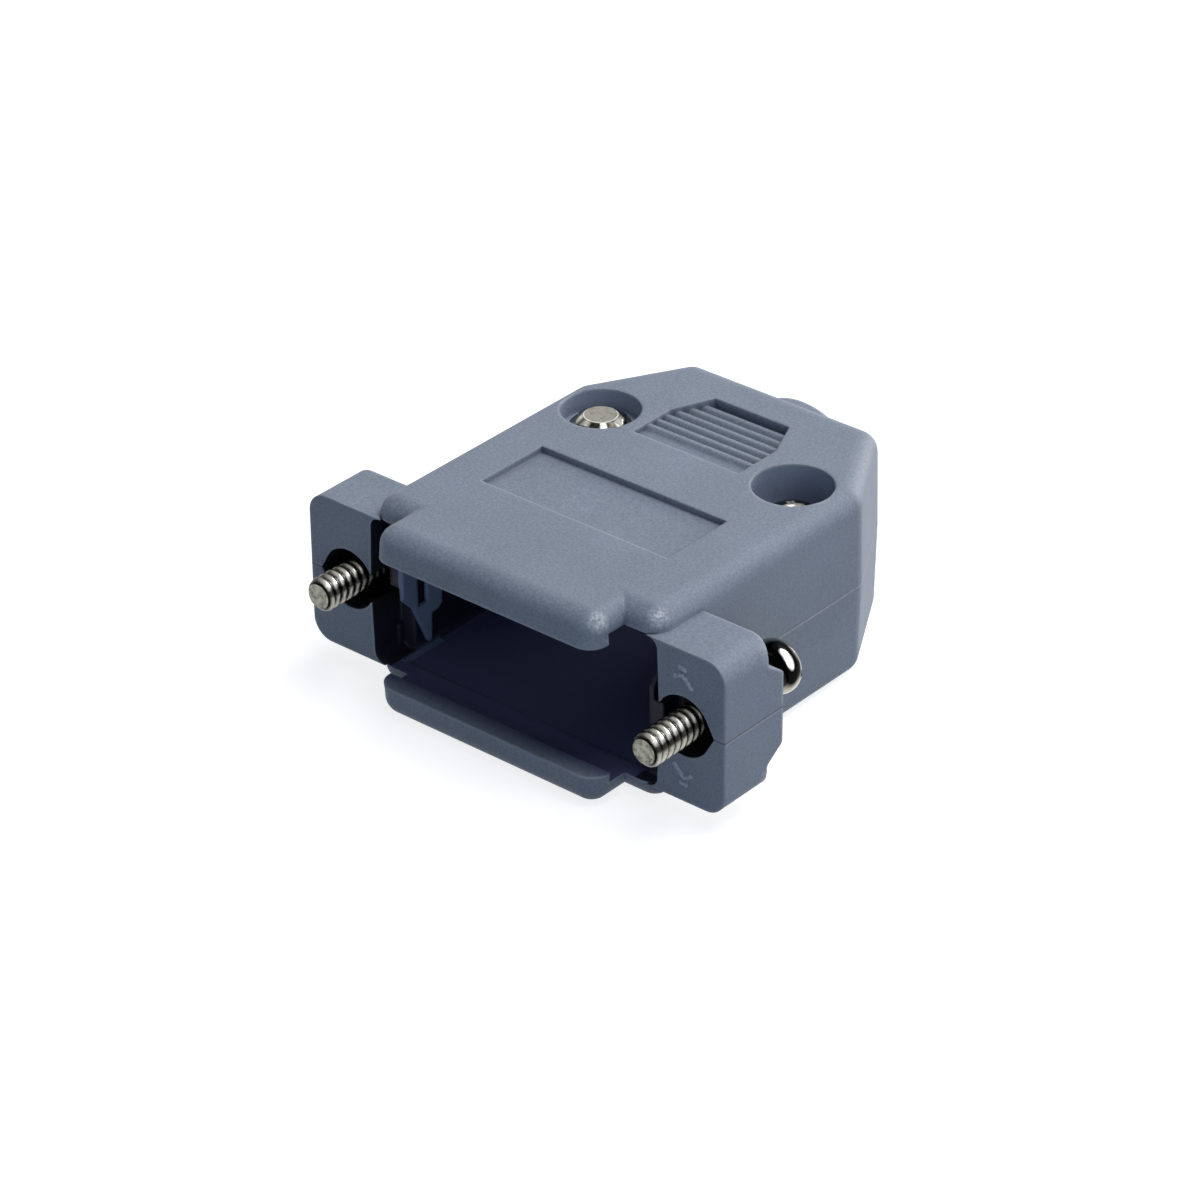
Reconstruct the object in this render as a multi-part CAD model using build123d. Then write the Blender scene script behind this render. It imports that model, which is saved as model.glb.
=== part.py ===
from build123d import *
import math
import os

# Two-piece moulded hood for a 15-way D-sub connector, mm.
# X runs along the ears, Y from the mating side (-) to the cable side (+), Z up.
# The origin is in the plane of the ears' front faces, midway between the jackscrews,
# on the parting plane. The lower half is the upper one turned half a turn about Y.

# Jackscrews and ears
screw_pitch = 33.32  # from jackscrew to jackscrew
ear_side = 3.94  # a jackscrew's axis to the outer side of its ear
ear_rise = 6.5  # parting plane to the top of an ear
ear_depth = 5.0  # front face to back face
boss_depth = 6.8  # front face to the back of the thick middle
boss_rise = 3.1  # half height of the thick middle
boss_slope = 1.2  # height over which the middle falls back to the ear
ear_corner = 1.75  # long outer corner, seen from the front
ear_back_round = 0.9
pocket_r = 2.56  # room for the jackscrew's thread
pocket_depth = 5.0
pocket_point = 2.91  # axis to the tip of the pocket's outer point
pocket_gap = 1.25  # half height of the way from the pocket to the mouth

# Outer form of the body
side_gap = 0.12  # a jackscrew's head to the side of the body at the parting plane
body_rise = 8.23  # parting plane to the top
draft = 1.2  # degrees
rear_y = 33.36
corner_long = 8.86  # rear face to where the sides turn inwards
rear_room = 1.01  # end of the cable clamp to the rear corner, across the body
body_round = 1.7  # upright corners and the edge round the top
wall = 1.4
roof = 1.6

# Mouth and lip
mouth_skin = 0.14  # left of the side at the top of the mouth
mouth_lean = 0.22  # how much wider each side is at the parting plane
mouth_rise = 6.45
mouth_depth = 3.2
mouth_corner = 0.9
lip_half = 10.95
lip_root_gap = 0.2  # back end of the lip to the depth of the mouth
lip_reach = 3.41  # ears' front plane to the front of the lip
lip_round = 1.6  # upright corners and the edge round the top
hook_thick = 1.755
hook_edge = 5.54  # parting plane to the hook's inner edge
band_rise = 0.9  # height of the sloping band along the hook
band_proud = 0.08  # how far the band stands out at the hook's edge

# Recesses in the top
label_half = 9.19
label_front = 7.23
label_back = 14.28
label_depth = 0.5
grip_land = 1.1  # top left standing between the grip and a well
grip_end = 4.51  # rear face to the grip
grip_long = 8.25
grip_taper = 3.65  # length over which the grip narrows
grip_narrow = 1.55  # by how much it narrows, each side
grip_depth_front = 0.42
grip_depth_back = 0.85
ridge_count = 6
ridge_pitch = 1.11
ridge_end = 0.85  # the last ridge to the grip's end
ridge_high = 0.4
ridge_foot = 0.95  # width at the bottom
ridge_top = 0.3  # width at the top

# Closing screws, their wells and columns
well_gap = 0.07  # a well to the inner side of the wall
well_back = 11.54  # rear face to the wells' axes
well_r = 3.25
nut_floor = 6.45
head_floor = 4.8
well_wall = 1.05
closing_r = 1.25
closing_clear = 0.10
closing_head_r = 2.35
closing_rim = 0.75
closing_dome = 0.9
closing_end = 0.02  # how far the screw stands out of its nut
nut_flange_r = 2.65
nut_flange = 0.4
nut_flats = 3.8
nut_hex = 0.75
nut_clear = 0.05

# Jackscrew
jack_r = 1.39
jack_thread = 8.48  # length of the thread
jack_neck = 6.04  # thread's shoulder to the head
neck_r = 1.15
neck_clear = 0.07  # radial, in the ear's back wall
jack_head_r = 2.22
jack_head = 1.9  # height of the rounded head
jack_under_slope = 0.75
jack_top_slope = 0.75
slot_wide = 0.6
slot_deep = 0.75
jack_slide_left = 0.0  # thread's shoulder off the pocket's floor
jack_slide_right = 1.04

# Cable outlet and clamp
collar_r = 6.5
collar_reach = 2.0
outlet_r = 4.5
clamp_r = 3.5
clamp_thick = 0.9
clamp_wide = 3.6
clamp_bend = 0.3
clamp_play = 0.2  # along the cable, each side
cradle_half = 2.6
cradle_gap = 0.05
clamp_gap = 0.18701  # the arch to the nearest corner of a nut
clamp_tab = 1.75  # a clamp screw's axis to the end of a strap
clamp_screw_r = 1.0
clamp_screw_clear = 0.15
clamp_head_r = 1.7
clamp_head = 1.2
clamp_nut_flats = 3.4
clamp_nut_thick = 1.3
clamp_end = 0.5
rib_thick = 1.0
rib_gap = 4.6  # half width and height of the cable's way through the rib

# Alignment tongue inside the left side of the upper half
tongue_clear = 0.24  # between its back and the inner side of the wall
tongue_thick = 0.38
tongue_front_y = 1.4
tongue_back_y = 5.8
tongue_drop = 3.2  # parting plane to the shoulders that narrow into the tip
tongue_slot_y = 3.05
tongue_slot = 1.1
tongue_slot_drop = 2.3
tongue_tip_wide = 0.35
tongue_tip = 5.9

# What follows from the sizes above: the body fits between the jackscrews' heads, the wells and
# the tongue keep to its sides, and the rear is as wide as the cable clamp asks
ear_x = screw_pitch / 2
ear_reach = ear_x + ear_side
side_half = ear_x - jack_head_r - side_gap
inner_half = side_half - wall
inner_rise = body_rise - roof
mouth_half = side_half - mouth_skin
lip_root = mouth_depth - lip_root_gap
corner_y = rear_y - corner_long
well_x = inner_half - well_r - well_gap
well_y = rear_y - well_back
grip_half = well_x - well_r - grip_land
grip_back_half = grip_half - grip_narrow
grip_back = rear_y - grip_end
grip_front = grip_back - grip_long
grip_turn = grip_back - grip_taper
ridge_first = grip_back - ridge_end - (ridge_count - 1) * ridge_pitch
clamp_back = rear_y - wall - clamp_play
clamp_mid = clamp_back - clamp_wide / 2
clamp_hole_r = clamp_screw_r + clamp_screw_clear
clamp_nut_r = clamp_nut_flats / math.sqrt(3)
clamp_screw_x = clamp_r + clamp_thick + max(clamp_nut_r, clamp_head_r) + clamp_gap
clamp_half = clamp_screw_x + clamp_tab
rear_half = clamp_half + rear_room
tongue_back = inner_half - tongue_clear
tongue_face = tongue_back - tongue_thick
tongue_tip_y = tongue_slot_y + tongue_slot


def along_y(sketch, y0, y1):
    """A flat shape given in X and Z, drawn out from y0 to y1."""
    return extrude(Plane.XZ.offset(-y0) * sketch, amount=y0 - y1)


def rod_y(r, y0, y1, x=0.0, z=0.0):
    return along_y(Pos(x, z) * Circle(r), y0, y1)


def rod_z(r, z0, z1, x=0.0, y=0.0):
    return extrude(Plane.XY.offset(z0) * Pos(x, y) * Circle(r), amount=z1 - z0)


def block(x0, x1, y0, y1, z0, z1):
    return Pos((x0 + x1) / 2, (y0 + y1) / 2, (z0 + z1) / 2) * Box(x1 - x0, y1 - y0, z1 - z0)


def rounded(points, radii):
    """A closed outline with a corner radius at each point."""
    face = make_face(Polyline(*points, close=True))
    for point, radius in zip(points, radii):
        if radius:
            face = fillet(face.vertices().sort_by_distance((*point, 0))[0], radius)
    return face


def body_plan(inset=0.0):
    """Outline of the body at the parting plane, moved in by the inset."""
    lean = math.atan2(side_half - rear_half, rear_y - corner_y)
    side = side_half - inset
    back = rear_y - inset
    turn_y = corner_y - inset * math.tan(lean / 2)
    back_half = rear_half - inset * math.tan((math.pi / 2 - lean) / 2)
    right = [(side, inset), (side, turn_y), (back_half, back)]
    points = right + [(-x, y) for x, y in reversed(right)]
    return make_face(Polyline(*points, close=True))


def hull():
    """Outer form of one half, drawn up from the parting plane with its draft."""
    form = extrude(body_plan(), amount=body_rise, taper=draft)
    return fillet([e for e in form.edges() if e.center().Z > 0.01], body_round)


def cavity():
    return extrude(body_plan(wall), amount=inner_rise, taper=draft)


def ear(side):
    """One half ear: its front outline drawn back, trimmed to its side profile."""
    root = mouth_half - 1.0
    outline = rounded(
        [(root, 0), (ear_reach, 0), (ear_reach, ear_rise), (root, ear_rise)], [0, 0, ear_corner, 0])
    profile = rounded(
        [(0, 0), (boss_depth, 0), (boss_depth, boss_rise), (ear_depth, boss_rise + boss_slope),
         (ear_depth, ear_rise), (0, ear_rise)],
        [0, 0, 0.5, 0.5, ear_back_round, 0])
    bar = along_y(outline, 0, boss_depth) & extrude(Plane.YZ.offset(root) * profile, amount=ear_reach - root)
    return bar if side > 0 else bar.mirror(Plane.YZ)


def lip():
    """The lip in front of the mouth, with its hook turned in over the flange slot."""
    base = Plane.XY.offset(hook_edge)
    plan = Pos(0, (lip_root - lip_reach) / 2) * Rectangle(2 * lip_half, lip_root + lip_reach)
    form = extrude(base * plan, amount=body_rise - hook_edge)
    rim = [e for e in form.edges() if e.center().Y < lip_root - 0.01 and e.center().Z > hook_edge + 0.01]
    form = fillet(rim, lip_round)
    half, front = lip_half + band_proud, -lip_reach - band_proud
    swell = rounded(
        [(half, front), (half, lip_root), (-half, lip_root), (-half, front)],
        [lip_round + band_proud, 0, 0, lip_round + band_proud])
    form += extrude(base * swell, amount=band_rise, taper=math.degrees(math.atan(band_proud / band_rise)))
    slot = block(-half - 1, half + 1, hook_thick - lip_reach, 0, 0, mouth_rise)
    return form - slot


def mouth():
    """Opening for the connector, wider towards the parting plane."""
    low = mouth_half + mouth_lean * (1 + 1 / mouth_rise)
    return along_y(rounded(
        [(-low, -1), (low, -1), (mouth_half, mouth_rise), (-mouth_half, mouth_rise)],
        [0, 0, mouth_corner, mouth_corner]), -0.01, mouth_depth)


def grip_plan():
    return make_face(Polyline(
        (-grip_half, grip_front), (grip_half, grip_front), (grip_half, grip_turn),
        (grip_back_half, grip_back), (-grip_back_half, grip_back), (-grip_half, grip_turn),
        close=True))


def grip_depth(y):
    share = (y - grip_front) / (grip_back - grip_front)
    return grip_depth_front + share * (grip_depth_back - grip_depth_front)


def grip_cut():
    """The thumb grip: a sloping pocket, less the ridges that stay standing in it."""
    column = extrude(Plane.XY.offset(body_rise - 2) * grip_plan(), amount=3)
    side = make_face(Polyline(
        (grip_front - 1, body_rise - grip_depth(grip_front - 1)),
        (grip_back + 1, body_rise - grip_depth(grip_back + 1)),
        (grip_back + 1, body_rise + 1), (grip_front - 1, body_rise + 1), close=True))
    cut = column & extrude(Plane.YZ.offset(-grip_half) * side, amount=2 * grip_half)
    for n in range(ridge_count):
        y = ridge_first + n * ridge_pitch
        z = body_rise - grip_depth(y)
        ridge = make_face(Polyline(
            (y - ridge_foot / 2, z - 0.2), (y - ridge_foot / 2, z), (y - ridge_top / 2, z + ridge_high),
            (y + ridge_top / 2, z + ridge_high), (y + ridge_foot / 2, z), (y + ridge_foot / 2, z - 0.2),
            close=True))
        cut -= extrude(Plane.YZ.offset(-grip_half) * ridge, amount=2 * grip_half)
    return cut


def pocket(side):
    """Room for the jackscrew in one half ear, with its outer point and its way to the mouth."""
    touch = math.acos(pocket_r / pocket_point)
    tx, tz = pocket_r * math.cos(touch), pocket_r * math.sin(touch)
    point = make_face(Polyline((tx, tz), (pocket_point, 0), (tx, -tz), (0, 0), close=True))
    form = rod_y(pocket_r, 0, pocket_depth) + along_y(point, 0, pocket_depth)
    form += block(mouth_half - ear_x - 0.2, 0, 0, mouth_depth, -pocket_gap, pocket_gap)
    form += rod_y(neck_r + neck_clear, 0, boss_depth + 1)
    form = Pos(ear_x, 0, 0) * form
    return form if side > 0 else form.mirror(Plane.YZ)


def column(x):
    """Post under a well, down to the parting plane, where it meets the one of the other half."""
    return rod_z(well_r + well_wall, 0, inner_rise + 0.3, x, well_y)


def well(x, floor):
    return (rod_z(well_r, floor, body_rise + 1, x, well_y)
            + rod_z(closing_r + closing_clear, -1, floor + 1, x, well_y))


def tongue():
    """Slotted tongue on the left inner side that reaches down into the other half."""
    shape = make_face(Polyline(
        (tongue_front_y, inner_rise + 0.2), (tongue_front_y, -tongue_drop / 3),
        (tongue_slot_y - 0.5, -tongue_slot_drop), (tongue_tip_y, -tongue_tip),
        (tongue_tip_y + tongue_tip_wide, -tongue_tip),
        (tongue_tip_y + tongue_tip_wide + 0.1, -tongue_drop - 0.3),
        (tongue_back_y - 0.4, -tongue_drop - 0.2), (tongue_back_y, -tongue_drop + 0.2),
        (tongue_back_y, inner_rise + 0.2), close=True))
    slot = make_face(Polyline(
        (tongue_slot_y, inner_rise), (tongue_slot_y, -tongue_slot_drop),
        (tongue_slot_y + tongue_slot, -tongue_slot_drop),
        (tongue_slot_y + tongue_slot, inner_rise), close=True))
    blade = extrude(Plane.YZ.offset(-tongue_back) * (shape - slot), amount=tongue_back - tongue_face)
    root = side_half - wall / 2
    foot = block(-root, -tongue_face, tongue_front_y, tongue_back_y, 0, inner_rise + 0.2)
    foot -= block(-root, -tongue_face, tongue_slot_y, tongue_slot_y + tongue_slot, -1, inner_rise)
    return blade + foot


def clamp_seat():
    """Rib and cradle that hold the cable clamp between them and the rear wall."""
    rib_back = clamp_back - clamp_wide - clamp_play
    rib = block(-side_half, side_half, rib_back - rib_thick, rib_back, 0, inner_rise + 0.3)
    rib -= block(-rib_gap, rib_gap, rib_back - rib_thick - 1, rib_back + 1, -1, rib_gap)
    cradle = block(-cradle_half, cradle_half, clamp_mid - clamp_wide / 4, clamp_mid + clamp_wide / 4,
                   clamp_r, inner_rise + 0.3)
    cradle -= rod_y(clamp_r + clamp_thick + cradle_gap, clamp_mid - clamp_wide, clamp_back + 1)
    return rib + cradle


def half_shell():
    outer = hull()
    body = outer + ear(1) + ear(-1) + lip()
    collar = along_y(Circle(collar_r), rear_y - 0.5, rear_y + collar_reach)
    body += collar & block(-collar_r, collar_r, rear_y - 1, rear_y + collar_reach + 1, 0, collar_r + 1)
    body -= cavity() + mouth()
    inside = column(-well_x) + column(well_x) + clamp_seat()
    body += inside & outer
    body -= well(-well_x, nut_floor) + well(well_x, head_floor)
    body -= pocket(1) + pocket(-1)
    body -= rod_y(outlet_r, rear_y - wall - 0.5, rear_y + collar_reach + 1)
    body -= block(-label_half, label_half, label_front, label_back,
                  body_rise - label_depth, body_rise + 1)
    body -= grip_cut()
    return body + tongue()


def turned(shape):
    """The same moulding or piece, turned half a turn about the cable axis."""
    return shape.rotate(Axis.Y, 180)


def jackscrew(slide):
    """Captive screw along Y: thread, thin neck through the ear's wall, slotted head with sloping edges."""
    shoulder = pocket_depth - slide
    tip = shoulder - jack_thread
    under = shoulder + jack_neck
    top = under + jack_head
    face = make_face(Polyline(
        (0, tip), (jack_r, tip), (jack_r, shoulder), (neck_r, shoulder), (neck_r, under),
        (jack_head_r - jack_under_slope, under), (jack_head_r, under + jack_under_slope * 0.8),
        (jack_head_r, top - jack_top_slope), (jack_head_r - jack_top_slope, top), (0, top), close=True))
    screw = revolve(face, Axis.Y, 360)
    return screw - block(-jack_head_r, jack_head_r, top - slot_deep, top + 1,
                         -slot_wide / 2, slot_wide / 2)


def cross_recess(wide, long, deep, top):
    """Cross-shaped drive recess with tapering wings."""
    wing = make_face(Polyline((-long, top), (-wide, top - deep), (wide, top - deep), (long, top),
                              (long, top + 1), (-long, top + 1), close=True))
    bar = extrude(Plane.XZ.offset(-wide) * wing, amount=2 * wide)
    return bar + bar.rotate(Axis.Z, 90)


def closing_screw():
    """Pan head screw along Z, with its head on the floor of the deep well and its end in the nut."""
    end = -(nut_floor + nut_flange + nut_hex + closing_end)
    top = head_floor + closing_rim + closing_dome
    face = make_face(Polyline(
        (0, end), (closing_r, end), (closing_r, head_floor), (closing_head_r, head_floor),
        (closing_head_r, head_floor + closing_rim), (closing_head_r * 0.6, top), (0, top), close=True))
    solid = revolve(Plane.XZ * face, Axis.Z, 360)
    return solid - cross_recess(closing_head_r * 0.13, closing_head_r * 0.56, closing_rim, top)


def closing_nut():
    """Flanged hexagon nut, seated on the floor of the shallow well and opening upwards."""
    flange = rod_z(nut_flange_r, nut_floor, nut_floor + nut_flange)
    hexagon = RegularPolygon(nut_flats / 2, 6, major_radius=False)
    top = nut_floor + nut_flange + nut_hex
    hexa = extrude(Plane.XY.offset(nut_floor + nut_flange) * hexagon, amount=nut_hex)
    return flange + hexa - rod_z(closing_r + nut_clear, nut_floor - 1, top + 1)


def clamp_strap():
    """Half of the cable clamp: flat wings and a half-round arch, cut from bent strip."""
    outer = clamp_r + clamp_thick
    ring = Circle(outer) + Pos(0, clamp_thick / 2) * Rectangle(2 * clamp_half, clamp_thick)
    ring -= Circle(clamp_r)
    ring &= Pos(0, outer) * Rectangle(3 * clamp_half, 2 * outer)
    bend = [v for v in ring.vertices()
            if abs(v.Z) < 0.01 and abs(v.Y - clamp_thick) < 0.01 and abs(v.X) < clamp_half - 1]
    ring = fillet(bend, clamp_bend)
    strap = along_y(ring, clamp_back - clamp_wide, clamp_back)
    for side in (-1, 1):
        strap -= rod_z(clamp_hole_r, -1, clamp_thick + 1, side * clamp_screw_x, clamp_mid)
    return strap


def clamp_screw():
    end = -(clamp_thick + clamp_nut_thick + clamp_end)
    top = clamp_thick + clamp_head
    return rod_z(clamp_screw_r, end, top) + rod_z(clamp_head_r, clamp_thick, top)


def clamp_nut():
    hexagon = RegularPolygon(clamp_nut_flats / 2, 6, major_radius=False)
    body = extrude(Plane.XY.offset(-clamp_thick - clamp_nut_thick) * hexagon, amount=clamp_nut_thick)
    return body - rod_z(clamp_screw_r + nut_clear, -clamp_thick - clamp_nut_thick - 1, 1)


upper_shell = half_shell()
strap_upper = clamp_strap()
head_right = Pos(well_x, well_y, 0) * closing_screw()
nut_left = Pos(-well_x, well_y, 0) * closing_nut()

pieces = {
    "upper_shell": upper_shell,
    "lower_shell": turned(upper_shell),
    "jackscrew_left": Pos(-ear_x, 0, 0) * jackscrew(jack_slide_left),
    "jackscrew_right": Pos(ear_x, 0, 0) * jackscrew(jack_slide_right),
    "closing_screw_right": head_right,
    "closing_screw_left": turned(head_right),
    "closing_nut_left": nut_left,
    "closing_nut_right": turned(nut_left),
    "cable_clamp_upper": strap_upper,
    "cable_clamp_lower": turned(strap_upper),
    "clamp_screw_left": Pos(-clamp_screw_x, clamp_mid, 0) * clamp_screw(),
    "clamp_screw_right": Pos(clamp_screw_x, clamp_mid, 0) * clamp_screw(),
    "clamp_nut_left": Pos(-clamp_screw_x, clamp_mid, 0) * clamp_nut(),
    "clamp_nut_right": Pos(clamp_screw_x, clamp_mid, 0) * clamp_nut(),
}

os.makedirs("parts", exist_ok=True)
for name, shape in pieces.items():
    solids = shape.solids()
    print(name, "solids", len(solids), "volume", round(sum(s.volume for s in solids), 2))
    export_step(solids[0] if len(solids) == 1 else Compound(solids), f"parts/{name}.step")
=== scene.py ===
import bpy
import bmesh
import math
from mathutils import Matrix, Vector


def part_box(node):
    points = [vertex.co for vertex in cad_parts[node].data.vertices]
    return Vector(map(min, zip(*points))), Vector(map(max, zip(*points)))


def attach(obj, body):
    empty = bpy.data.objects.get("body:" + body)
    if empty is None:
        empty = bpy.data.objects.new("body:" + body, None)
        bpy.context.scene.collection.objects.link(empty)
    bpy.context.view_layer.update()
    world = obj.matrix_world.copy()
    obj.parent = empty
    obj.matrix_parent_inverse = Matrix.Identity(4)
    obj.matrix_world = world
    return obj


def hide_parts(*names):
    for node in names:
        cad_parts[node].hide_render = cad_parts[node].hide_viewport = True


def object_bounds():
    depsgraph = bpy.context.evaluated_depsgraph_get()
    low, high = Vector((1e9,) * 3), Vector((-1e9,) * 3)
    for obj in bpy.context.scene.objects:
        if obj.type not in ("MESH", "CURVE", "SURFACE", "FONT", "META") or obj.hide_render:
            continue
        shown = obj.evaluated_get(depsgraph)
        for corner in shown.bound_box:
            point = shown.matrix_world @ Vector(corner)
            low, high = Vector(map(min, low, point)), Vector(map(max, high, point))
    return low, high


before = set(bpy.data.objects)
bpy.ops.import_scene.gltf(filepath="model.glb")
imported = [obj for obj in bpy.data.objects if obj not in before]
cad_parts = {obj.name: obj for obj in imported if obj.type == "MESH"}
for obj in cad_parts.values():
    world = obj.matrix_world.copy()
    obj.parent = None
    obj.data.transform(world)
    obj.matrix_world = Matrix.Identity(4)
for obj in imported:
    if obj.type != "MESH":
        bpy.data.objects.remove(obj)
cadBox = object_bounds()
mm = 0.001


# 0 to 255 as seen on screen, turned into Blender's linear colour
def srgb(r, g, b):
    def toLinear(v):
        v = v / 255
        return v / 12.92 if v <= 0.04045 else ((v + 0.055) / 1.055) ** 2.4
    return (toLinear(r), toLinear(g), toLinear(b), 1.0)


# camera: solved from the photograph's edges, for a square picture of 1200 pixels
camera = {
    "place": (0.195214, -0.218499, 0.179477),
    "turn": (
        (0.763516, -0.326569, 0.557132),
        (0.645748, 0.395826, -0.652941),
        (-0.007297, 0.858297, 0.513101)),
    "focalPixels": 4568.62,
    "picturePixels": 1200,
    "sensor": 36.0,
    "clipStart": 0.01,
}


def makeCamera():
    data = bpy.data.cameras.new("photoCamera")
    data.sensor_fit = "HORIZONTAL"
    data.sensor_width = camera["sensor"]
    data.lens = camera["focalPixels"] * camera["sensor"] / camera["picturePixels"]
    data.clip_start = camera["clipStart"]
    cam = bpy.data.objects.new("photoCamera", data)
    cam.matrix_world = Matrix.Translation(camera["place"]) @ Matrix(camera["turn"]).to_4x4()
    bpy.context.collection.objects.link(cam)
    bpy.context.scene.camera = cam


makeCamera()
print("camera set")


# light: soft boxes round the hood, and a white surround that only the view and reflections see
light = {
    "softBoxes": {
        "topBox": {"at": (0.09, 0.12, 0.41), "size": 0.30, "power": 1.27, "tint": (1.0, 1.0, 1.0)},
        "rightBox": {"at": (0.44, -0.02, 0.13), "size": 0.24, "power": 0.14, "tint": (0.80, 0.90, 1.0)},
        "frontBox": {"at": (0.26, -0.38, 0.10), "size": 0.26, "power": 0.30, "tint": (0.66, 0.80, 1.0)},
        "rearBox": {"at": (0.08, 0.42, 0.09), "size": 0.24, "power": 1.12, "tint": (1.0, 0.96, 0.92)},
    },
    "aim": (0, 0.014, 0),
    "surroundSeen": 1.0,
    "surroundOnObject": 0.14,
    "surroundTint": (0.58, 0.75, 1.0, 1),
}


def aimAt(obj, target):
    obj.rotation_euler = (Vector(target) - obj.location).to_track_quat("-Z", "Y").to_euler()


# 1 for rays that come straight from the camera, or by way of gloss or glass
def seenRay(tree):
    path = tree.nodes.new("ShaderNodeLightPath")
    first = tree.nodes.new("ShaderNodeMath")
    first.operation = "MAXIMUM"
    second = tree.nodes.new("ShaderNodeMath")
    second.operation = "MAXIMUM"
    tree.links.new(path.outputs["Is Camera Ray"], first.inputs[0])
    tree.links.new(path.outputs["Is Glossy Ray"], first.inputs[1])
    tree.links.new(first.outputs[0], second.inputs[0])
    tree.links.new(path.outputs["Is Transmission Ray"], second.inputs[1])
    return second.outputs[0]


def makeLights():
    for name, box in light["softBoxes"].items():
        data = bpy.data.lights.new(name, "AREA")
        data.shape = "SQUARE"
        data.size = box["size"]
        data.energy = box["power"]
        data.color = box["tint"]
        lamp = bpy.data.objects.new(name, data)
        lamp.location = box["at"]
        aimAt(lamp, light["aim"])
        bpy.context.collection.objects.link(lamp)
    world = bpy.data.worlds.new("paleSurround")
    bpy.context.scene.world = world
    world.use_nodes = True
    tree = world.node_tree
    tree.nodes.clear()
    soft = tree.nodes.new("ShaderNodeBackground")
    soft.inputs["Color"].default_value = light["surroundTint"]
    soft.inputs["Strength"].default_value = light["surroundOnObject"]
    white = tree.nodes.new("ShaderNodeBackground")
    white.inputs["Color"].default_value = (1, 1, 1, 1)
    white.inputs["Strength"].default_value = light["surroundSeen"]
    mix = tree.nodes.new("ShaderNodeMixShader")
    out = tree.nodes.new("ShaderNodeOutputWorld")
    tree.links.new(seenRay(tree), mix.inputs[0])
    tree.links.new(soft.outputs[0], mix.inputs[1])
    tree.links.new(white.outputs[0], mix.inputs[2])
    tree.links.new(mix.outputs[0], out.inputs["Surface"])


makeLights()
print("lights set")


# floor: pale sheet that the hood lies on
floor = {
    "size": 6.0,
    "under": 0.00001,  # how far it lies under the lowest point
    "paint": (0.55, 0.56, 0.57, 1),
    "glow": 0.80,
    "bounce": (0.22, 0.25, 0.30, 1),
}


def makeFloor():
    mesh = bpy.data.meshes.new("floorSheet")
    h = floor["size"] / 2
    mesh.from_pydata([(-h, -h, 0), (h, -h, 0), (h, h, 0), (-h, h, 0)], [], [(0, 1, 2, 3)])
    sheet = bpy.data.objects.new("floorSheet", mesh)
    sheet.location.z = cadBox[0][2] - floor["under"]
    bpy.context.collection.objects.link(sheet)
    mat = bpy.data.materials.new("paleFloor")
    mat.use_nodes = True
    tree = mat.node_tree
    tree.nodes.clear()
    paint = tree.nodes.new("ShaderNodeBsdfDiffuse")
    paint.inputs["Color"].default_value = floor["paint"]
    bounce = tree.nodes.new("ShaderNodeBsdfDiffuse")
    bounce.inputs["Color"].default_value = floor["bounce"]
    glow = tree.nodes.new("ShaderNodeEmission")
    glow.inputs["Color"].default_value = (1, 1, 1, 1)
    glow.inputs["Strength"].default_value = floor["glow"]
    add = tree.nodes.new("ShaderNodeAddShader")
    mix = tree.nodes.new("ShaderNodeMixShader")
    out = tree.nodes.new("ShaderNodeOutputMaterial")
    tree.links.new(paint.outputs[0], add.inputs[0])
    tree.links.new(glow.outputs[0], add.inputs[1])
    tree.links.new(seenRay(tree), mix.inputs[0])
    tree.links.new(bounce.outputs[0], mix.inputs[1])
    tree.links.new(add.outputs[0], mix.inputs[2])
    tree.links.new(mix.outputs[0], out.inputs["Surface"])
    mesh.materials.append(mat)


makeFloor()
print("floor set")


def newMaterial(name):
    mat = bpy.data.materials.new(name)
    mat.use_nodes = True
    tree = mat.node_tree
    return mat, tree, tree.nodes["Principled BSDF"]


def noiseNode(tree, coords, size, detail, rough=0.5):
    noise = tree.nodes.new("ShaderNodeTexNoise")
    noise.inputs["Scale"].default_value = 1 / size
    noise.inputs["Detail"].default_value = detail
    noise.inputs["Roughness"].default_value = rough
    tree.links.new(coords, noise.inputs["Vector"])
    return noise


def rampNode(tree, value, stops):
    ramp = tree.nodes.new("ShaderNodeValToRGB")
    elements = ramp.color_ramp.elements
    elements[0].position, elements[0].color = stops[0]
    elements[1].position, elements[1].color = stops[-1]
    for place, colour in stops[1:-1]:
        extra = elements.new(place)
        extra.color = colour
    tree.links.new(value, ramp.inputs["Fac"])
    return ramp


def rangeNode(tree, value, low, high, toLow, toHigh):
    node = tree.nodes.new("ShaderNodeMapRange")
    node.inputs["From Min"].default_value = low
    node.inputs["From Max"].default_value = high
    node.inputs["To Min"].default_value = toLow
    node.inputs["To Max"].default_value = toHigh
    tree.links.new(value, node.inputs["Value"])
    return node.outputs["Result"]


def mathNode(tree, kind, a, b=None):
    node = tree.nodes.new("ShaderNodeMath")
    node.operation = kind
    for place, value in ((0, a), (1, b)):
        if value is None:
            continue
        if isinstance(value, (int, float)):
            node.inputs[place].default_value = value
        else:
            tree.links.new(value, node.inputs[place])
    return node.outputs[0]


def mixColour(tree, share, a, b):
    node = tree.nodes.new("ShaderNodeMix")
    node.data_type = "RGBA"
    for socket, value in ((node.inputs[0], share), (node.inputs[6], a), (node.inputs[7], b)):
        if isinstance(value, (int, float, tuple)):
            socket.default_value = value
        else:
            tree.links.new(value, socket)
    return node.outputs[2]


# 1 where the value lies between low and high, with soft ends of the given width
def between(tree, value, low, high, soft):
    up = rangeNode(tree, value, low - soft / 2, low + soft / 2, 0.0, 1.0)
    down = rangeNode(tree, value, high - soft / 2, high + soft / 2, 1.0, 0.0)
    return mathNode(tree, "MULTIPLY", up, down)


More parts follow.
